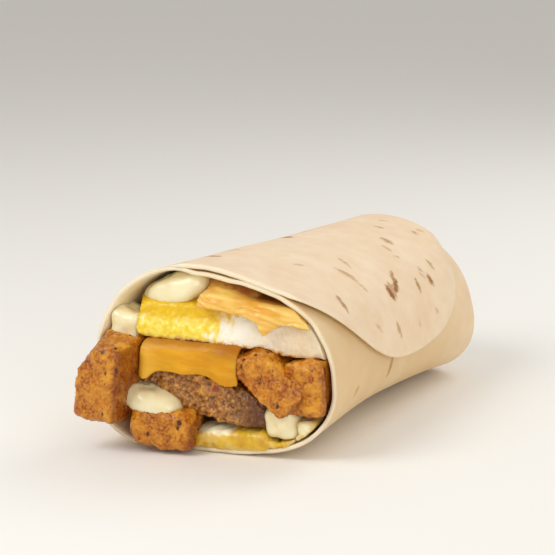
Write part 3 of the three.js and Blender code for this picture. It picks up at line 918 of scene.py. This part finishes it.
def friedEggFinish():
    look = Finish("friedEgg", 0.36, soft=0.35, reach=(1.0, 0.8, 0.45), coat=0.12, tones=eggTones)
    tree = look.tree
    streaks = stretched(tree, look.place, (0.0016, 0.004, 0.004))
    ragged = addNode(tree, "TexNoise", {"Vector": streaks, "Scale": 0.9, "Detail": 3.0}).outputs[0]
    high = remap(tree, look.painted("low"), 5.2, 7.4)
    wandering = remap(tree, ragged, 0.3, 0.7, *metres(-egg["yolkReach"], egg["yolkReach"]))
    side = count(tree, "ADD", look.axis(0), wandering)
    side = count(tree, "SUBTRACT", side, both(tree, high, egg["yolkReach"] * mm))
    porous = look.between(look.patches(1.3, 0.16), "yolk")
    streaked = look.mixed(remap(tree, ragged, 0.58, 0.68), porous, "streak")
    deep = look.between(look.patches(2, 0.2), "deepYolk")
    yolk = look.mixed(high, streaked, deep)
    white = look.between(look.patches(8, 0.25), "white")
    shade = remap(tree, look.axis(0), *metres(*egg["shadeFrom"]), 0.0, egg["shadeShare"])
    shaded = look.mixed(shade, white, "shade")
    base = look.mixed(remap(tree, side, *metres(-0.5, 6)), yolk, shaded)
    uneven = both(tree, look.patches(1.8, 0.3), 1.5)
    lowness = count(tree, "SUBTRACT", look.painted("low"), uneven)
    warm = look.mixed(remap(tree, lowness, 1.2, 0.0), base, "warm")
    singed = look.mixed(remap(tree, lowness, 0.2, -0.5), warm, "singed")
    look.set("Base Color", singed)
    look.bump((look.grained(1.0, 0.35), 0.16))
    return look.material


shareFinish(makeFriedEgg(), friedEggFinish(), "fried_egg")


# The second egg, folded along the floor and up the right wall

fold = {
    "voxel": 0.7, "softening": 2, "front": 8,
    "lumps": (5, 1.8), "pores": (1.4, 0.4), "swell": 0.2,
    "forward": 2.2, "lowered": 0.7, "lowest": 0.75,
    "whitePatch": (27, 5, 2), "rind": (1.5, 7, 4), "rindAbove": (5.4, 6.4),
}
foldTones = {"golden": ((202, 152, 14), (222, 180, 34)), "pale": (236, 214, 134), "white": (250, 240, 200)}


def makeFoldedEgg():
    piece = layerFrom("folded_egg", "foldedEgg", fold["voxel"], fold["softening"])
    refineFront(piece, fold["front"], 1)
    weigh(piece, "shown", fading(4, 9, depthOf(readPoints(piece))))
    roughen(piece, *fold["lumps"], "shown", fold["swell"])
    roughen(piece, *fold["pores"], "shown")
    keepInside(piece)
    points = readPoints(piece)
    shown = fading(2, 7, depthOf(points))
    points[:, 1] -= fold["forward"] * shown
    points[:, 2] = np.maximum(points[:, 2] - fold["lowered"] * shown, fold["lowest"])
    movePoints(piece, points)
    return piece


def foldedEggFinish():
    look = Finish("foldedEgg", 0.34, soft=0.35, reach=(1.0, 0.75, 0.35), coat=0.2, tones=foldTones)
    tree = look.tree
    golden = look.between(look.patches(4, 0.2), "golden")
    pale = look.mixed(both(tree, look.patches(6, 0.08), 0.4), golden, "pale")
    patch = both(tree, look.aside(*fold["whitePatch"]), look.patches(4, 0.2))
    above = remap(tree, look.axis(2), *metres(*fold["rindAbove"]))
    rind = both(tree, look.aside(*fold["rind"]), above)
    look.set("Base Color", look.mixed(count(tree, "MAXIMUM", patch, rind), pale, "white"))
    look.bump((look.grained(1.2, 0.4), 0.18))
    return look.material


shareFinish(makeFoldedEgg(), foldedEggFinish(), "folded_egg")
print("the eggs are laid")


# The sausage: ground meat, grainy and moist

sausage = {
    "voxel": 0.8, "softening": 3, "front": 9,
    "lumps": (5, 1.8), "crumbs": (1.7, 0.9), "grains": (0.8, 0.5),
    "darkFrom": (6, 15), "darkShare": 0.85,
}
sausageTones = {
    "meat": ((114, 58, 16), (156, 92, 32)),
    # the sunk and ridge tones are painted shade in hollows and a painted highlight on raised grains
    "sunk": (88, 46, 18), "ridge": (204, 144, 58), "crumb": (226, 168, 80),
    "fleck": (160, 44, 18), "pepper": (62, 30, 14), "darkEnd": (84, 38, 14),
}


def makeSausage():
    piece = layerFrom("sausage_patty", "sausagePatty", sausage["voxel"], sausage["softening"])
    refineFront(piece, sausage["front"], 2)
    weigh(piece, "shown", fading(5, 10, depthOf(readPoints(piece))))
    roughen(piece, *sausage["lumps"], "shown")
    lumpy, normals = readPoints(piece), readNormals(piece)
    roughen(piece, *sausage["crumbs"], "shown", kind="VORONOI")
    roughen(piece, *sausage["grains"], "shown")
    paint(piece, "raised", ((readPoints(piece) - lumpy) * normals).sum(axis=1))
    return piece


def sausageFinish():
    look = Finish(
        "groundSausage", 0.3, soft=0.12, reach=(1.0, 0.4, 0.2), coat=0.4, shine=0.35, tones=sausageTones,
    )
    tree = look.tree
    raised = look.painted("raised")
    meat = look.between(look.patches(6, 0.2), "meat")
    # painted shade in the hollows between the grains and a painted highlight on the raised grains
    sunk = look.mixed(remap(tree, raised, -0.05, -0.4), meat, "sunk")
    ridges = look.mixed(remap(tree, raised, 0.05, 0.4), sunk, "ridge")
    crumbs = look.mixed(both(tree, look.patches(0.9, 0.12), 0.4), ridges, "crumb")
    flecks = look.mixed(look.specked(4.6, 0.3, 0.2), crumbs, "fleck")
    pepper = look.mixed(look.specked(3.1, 0.16, 0.2), flecks, "pepper")
    atEnd = remap(tree, look.axis(0), *metres(*sausage["darkFrom"]))
    dark = look.mixed(both(tree, atEnd, sausage["darkShare"]), pepper, "darkEnd")
    look.set("Base Color", dark)
    look.set("Roughness", remap(tree, look.patches(1.1, 0.2), 0.0, 1.0, 0.2, 0.5))
    look.bump((look.grained(1.1, 0.6), 0.35), (look.grained(0.5, 0.5), 0.16))
    return look.material


shareFinish(makeSausage(), sausageFinish(), "sausage_patty")
print("the sausage is laid")


# Melted cheese

cheese = {"voxel": 0.42, "softening": 5, "lumps": (7, 0.8), "ripples": (2.6, 0.25), "lit": (246, 196, 76)}
slab = {
    "bottom": 20, "top": 30.6, "rise": 1.6, "back": 1.2, "trim": 1.2,
    "wave": 0.7, "waveTurn": 0.55, "waveStart": 1.2,
    "drip": (-16.6, 2.0), "dripDown": 1.1, "dripForward": 0.9,
}
layered = {
    "spacing": 1.5, "depth": 0.22, "tilt": 0.16,
    "drip": (16.4, 1.8), "dripDown": 0.8, "dripForward": 0.6, "dripEnds": (36, 40),
}
# the third tone of each cheese is a darker one for painted shade deeper in the roll and under the egg,
# partly browning
sliceTones = {"pale": (228, 170, 36), "deep": (213, 145, 20), "browned": (160, 88, 16)}
topTones = {"pale": (247, 210, 116), "deep": (228, 162, 46), "browned": (184, 116, 46)}


def dripAt(shape, x):
    middle, reach = shape["drip"]
    return np.exp(-((x - middle) / reach) ** 2)


def makeCheese(node, name):
    piece = layerFrom(node, name, cheese["voxel"], cheese["softening"])
    points = readPoints(piece)
    x, depth = points[:, 0], depthOf(points)
    if node == "cheese_middle":  # the slice meets the egg and hangs in waves
        height = (points[:, 2] - slab["bottom"]) / (slab["top"] - slab["bottom"])
        shown = fading(-1, 9, depth)
        drip = dripAt(slab, x) * shown * fading(0, 0.5, height)
        points[:, 2] += slab["rise"] * shown * smooth(0.4, 1, height)
        points[:, 2] += slab["trim"] * shown * fading(0, 0.6, height) * fading(-1, 6, x)
        points[:, 2] -= slab["dripDown"] * drip
        points[:, 1] += slab["back"] * shown * smooth(0.72, 1, height) - slab["dripForward"] * drip
        wave = np.sin(x * slab["waveTurn"] + slab["waveStart"]) * fading(0.2, 0.9, height)
        points[:, 1] += slab["wave"] * shown * wave
    else:  # thin layers that have run together
        turn = (points[:, 2] + layered["tilt"] * x) / layered["spacing"] * 2 * math.pi
        wander = 2.2 * np.sin(x * 0.35) + np.sin(x * 0.9 + 1)
        shown = fading(0, 6, depth)
        drip = dripAt(layered, x) * shown * fading(*layered["dripEnds"], points[:, 2])
        points[:, 1] -= layered["depth"] * np.sin(turn + wander) * shown + layered["dripForward"] * drip
        points[:, 2] -= layered["dripDown"] * drip
    movePoints(piece, points)
    slabHeight = (points[:, 2] - slab["bottom"]) / (slab["top"] - slab["bottom"])
    paint(piece, "height", slabHeight if node == "cheese_middle" else np.zeros(len(points)))
    weigh(piece, "shown", fading(8, 14, depth))
    roughen(piece, *cheese["lumps"], "shown")
    roughen(piece, *cheese["ripples"], "shown")
    return piece


def cheeseFinish(name, gloss, wet, brownedFrom, tones):
    look = Finish(name, gloss, soft=0.4, reach=(1.0, 0.6, 0.2), coat=wet, shine=0.15 + wet, tones=tones)
    tree = look.tree
    streaks = stretched(tree, look.place, (3.5, 3.5, 0.6), (0.0, 0.18, 0.0))
    run = look.patches(3, 0.25, streaks)
    # darker deeper inside the roll: painted shade, partly browning of the cheese
    behind = both(tree, remap(tree, look.axis(1), *metres(*brownedFrom)), 0.85)
    height = look.painted("height")
    # the top band of the slice darker: painted shade under the egg's overhang, partly grease from the egg's
    # singed edge
    edge = both(tree, remap(tree, height, 0.8, 1.05), 0.6)
    # the top right corner of the slice darker: a painted shadow under the egg and the potato
    rightwards = remap(tree, look.axis(0), *metres(-3, 6))
    corner = both(tree, remap(tree, height, 0.5, 1.0), rightwards)
    edge = count(tree, "MAXIMUM", edge, both(tree, corner, 0.75))
    # the left part of the slice lighter: painted light towards the key light
    litLeft = both(tree, remap(tree, look.axis(0), *metres(-11, -17)), 0.5)
    lit = look.mixed(litLeft, look.mixed(run, "deep", "pale"), tone(*cheese["lit"]))
    look.set("Base Color", look.mixed(count(tree, "MAXIMUM", behind, edge), lit, "browned"))
    look.bump((run, 0.14), (look.patches(2.6, 0.4), 0.06))
    return look.material


sliceLook = cheeseFinish("meltedCheese", 0.42, 0.06, (-52, -40), sliceTones)
shareFinish(makeCheese("cheese_middle", "cheeseMiddle"), sliceLook, "cheese_middle")
paleLook = cheeseFinish("paleCheese", 0.3, 0.25, (-49, -41), topTones)
shareFinish(makeCheese("cheese_top", "cheeseTop"), paleLook, "cheese_top")
print("the cheese is melted")


# Potato chunks: cubes with knocked-off corners and a rough seasoned crust

potatoes = {
    "potato_left": {
        "at": (-26.8, -3, 20.4), "size": (13, 19, 22.4), "turn": (3, 7, 3),
        "flats": [((-1, -0.35, 0.75), 8.6), ((1, -1, 0.3), 11.6)],
    },
    "potato_bottom": {
        "at": (-12, 0.4, 7), "size": (18, 15, 10.6), "turn": (0, 4, 16),
        "flats": [((-1, -1, -0.6), 10.4), ((1, -0.6, 1), 9.8)],
    },
    "potato_middle": {
        "at": (17.2, 7, 22.6), "size": (24, 22, 12.2), "turn": (0, 34, 0),
        "flats": [((-1, -0.4, 1), 9.4), ((0.4, -1, 0.8), 11.8), ((0, 0, -1), 4.8), ((1, 0, -0.6), 11.2)],
    },
    "potato_right": {
        "at": (28.4, 8.6, 20.9), "size": (12, 22, 15.4), "turn": (0, -4, 3),
        "flats": [((0.6, -1, 1), 12)],
    },
}
crust = {
    "corner": 1.8, "voxel": 0.6, "softening": 3,
    "lumps": (7, 1.2), "ridges": (4.2, 0.42), "crags": (1.7, 0.7), "crumbs": (0.7, 0.32),
    "ridgeMiddle": 0.6,
    "browned": (0.8, 0.1, -0.6),  # the side turned away from the key light, which gets painted shade
    "brownedFrom": (0.2, 0.75),
}
potatoTones = {
    "golden": ((142, 60, 4), (204, 128, 20)),
    # the hollow and ridge tones are painted shade in the crust's hollows and a painted highlight on its
    # ridges
    "hollow": (146, 66, 12), "ridge": (222, 154, 40), "patch": (146, 60, 6),
    "grain": (230, 164, 58), "browned": (124, 52, 12),
    "dot": (112, 54, 18), "herb": (84, 46, 18),
# a dark red-brown tone for painted shade on the side turned away from the key light
}


def makePotato(node):
    chunk = potatoes[node]
    turn = Euler([math.radians(a) for a in chunk["turn"]])
    centre = Vector(fillingPoint(*chunk["at"])) * mm
    size = Vector(chunk["size"]) * mm
    bpy.ops.mesh.primitive_cube_add(size=1, location=centre, rotation=turn, scale=size)
    piece = bpy.context.object
    piece.name = node.replace("_", "") + "Chunk"
    bpy.ops.object.transform_apply()
    editAll(piece)
    bpy.ops.mesh.bevel(offset=crust["corner"] * mm, segments=2, affect="EDGES")
    for normal, distance in chunk["flats"]:
        way = Vector(normal).normalized()
        way.rotate(turn)
        bpy.ops.mesh.select_all(action="SELECT")
        place = centre + way * distance * mm
        bpy.ops.mesh.bisect(plane_co=place, plane_no=way, use_fill=True, clear_outer=True)
    backToObject()
    finishWith(piece, "REMESH", mode="VOXEL", voxel_size=crust["voxel"] * mm)
    finishWith(piece, "SMOOTH", factor=layers["evened"], iterations=crust["softening"])
    finishWith(piece, "SUBSURF", levels=1, render_levels=1)
    # faces turned away from the key light are marked for painted shade
    facing = readNormals(piece) @ np.array(crust["browned"])
    paint(piece, "browned", smooth(*crust["brownedFrom"], facing))
    roughen(piece, *crust["lumps"])
    plain, normals = readPoints(piece), readNormals(piece)
    roughen(piece, *crust["ridges"], middle=crust["ridgeMiddle"], kind="MUSGRAVE")
    roughen(piece, *crust["crags"])
    roughen(piece, *crust["crumbs"])
    paint(piece, "raised", ((readPoints(piece) - plain) * normals).sum(axis=1))
    keepInside(piece)
    return piece


def potatoFinish():
    look = Finish(
        "seasonedPotato", 0.38, soft=0.15, reach=(1.0, 0.45, 0.15), coat=0.18, shine=0.28,
        tones=potatoTones,
    )
    tree = look.tree
    raised = look.painted("raised")
    golden = look.between(look.patches(6, 0.14), "golden")
    # painted shade in the hollows of the crust and a painted highlight on its raised ridges
    hollows = look.mixed(remap(tree, raised, 0.0, -0.5), golden, "hollow")
    ridges = look.mixed(remap(tree, raised, 0.05, 0.5), hollows, "ridge")
    patchy = look.mixed(both(tree, look.patches(4.5, 0.14), 0.55), ridges, "patch")
    granular = look.mixed(both(tree, look.patches(0.8, 0.12), 0.42), patchy, "grain")
    # painted shade on the side turned away from the key light
    browned = look.mixed(both(tree, look.painted("browned"), 0.6), granular, "browned")
    dots = look.mixed(look.specked(1.5, 0.22, 0.24), browned, "dot")
    herbs = look.mixed(look.specked(3.4, 0.3, 0.42), dots, "herb")
    look.set("Base Color", herbs)
    look.set("Roughness", remap(tree, look.patches(1.8, 0.2), 0.0, 1.0, 0.24, 0.5))
    look.bump((look.grained(0.9, 0.5), 0.26))
    return look.material


potatoLook = potatoFinish()
for nodeName in potatoes:
    shareFinish(makePotato(nodeName), potatoLook, nodeName)
print("the potatoes are fried")


# Creamy sauce in the gaps

sauces = {
    "sauce_top": {
        "at": (-13.6, 9.6, 44.1), "size": (21.6, 17, 9.6), "turn": (0, -22, 0), "squareness": 2.8, "seed": 1,
    },
    "sauce_corner": {
        "at": (-26.4, 6, 33.2), "size": (9.6, 14, 10.4), "turn": (0, 8, 4), "squareness": 5, "seed": 2,
    },
    "sauce_left": {
        "at": (-18.2, 0.9, 14.2), "size": (23, 16, 8.2), "turn": (0, 14, 0), "squareness": 2.4, "seed": 3,
    },
    "sauce_right": {
        "at": (20.6, 4.6, 11), "size": (10.4, 12, 11.2), "turn": (0, -12, 0), "squareness": 3.2, "seed": 4,
    },
}
shadedBrowning = {"at": (1.5, 9.5, 45.4), "size": (17, 12, 5.6), "turn": (0, 11, 0), "squareness": 2.4, "seed": 5}
creamy = {"lumpSize": 4, "lumpDepth": 1.0, "lumpRadius": 8}
sauceTones = {"cream": ((238, 220, 168), (248, 238, 200))}
shadedBrowningTones = {"toasted": ((176, 104, 42), (226, 168, 92))}


def makeSauce(name, dollop):
    bpy.ops.mesh.primitive_ico_sphere_add(subdivisions=6, radius=mm)
    piece = bpy.context.object
    piece.name = name
    ways = readPoints(piece)
    half = np.array(dollop["size"]) / 2
    n = dollop["squareness"]
    reach = (np.abs(ways / half) ** n).sum(axis=1) ** (-1 / n)
    lumpy = lumps(ways * creamy["lumpRadius"], creamy["lumpSize"], dollop["seed"])
    points = ways * (reach + creamy["lumpDepth"] * lumpy)[:, None]
    turn = np.array(Euler([math.radians(a) for a in dollop["turn"]]).to_matrix())
    movePoints(piece, points @ turn.T + fillingPoint(*dollop["at"]))
    keepInside(piece)
    return piece


def sauceFinish():
    look = Finish("creamySauce", 0.22, soft=0.45, reach=(1.0, 0.85, 0.55), coat=0.4, tones=sauceTones)
    look.set("Base Color", look.between(look.patches(8, 0.3), "cream"))
    look.bump((look.patches(3, 0.4), 0.1))
    return look.material


sauceLook = sauceFinish()
for nodeName, dollopShape in sauces.items():
    dollopName = nodeName.replace("_", "") + "Dollop"
    shareFinish(makeSauce(dollopName, dollopShape), sauceLook, nodeName)


# A little melted cheese between the sauce and the roof, too thin for a solid of its own; its brown is partly
# browning and partly painted shade of the gap under the roof

brownedCheese = makeSauce("brownedCheese", shadedBrowning)
onlySelect(brownedCheese)
bpy.ops.object.shade_smooth()
shadedBrownedLook = Finish(
    "brownedCheese", 0.3, soft=0.3, reach=(1.0, 0.5, 0.2), coat=0.25, shine=0.35, tones=shadedBrowningTones,
)
# brown-orange tones: partly browned cheese and partly painted shade in the gap under the roof
shadedBrownedLook.set("Base Color", shadedBrownedLook.between(shadedBrownedLook.patches(3, 0.2), "toasted"))
shadedBrownedLook.bump((shadedBrownedLook.patches(2, 0.4), 0.15))
brownedCheese.data.materials.append(shadedBrownedLook.material)
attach(brownedCheese, "root")
print("the sauce is in place")


print("all pieces are dressed")
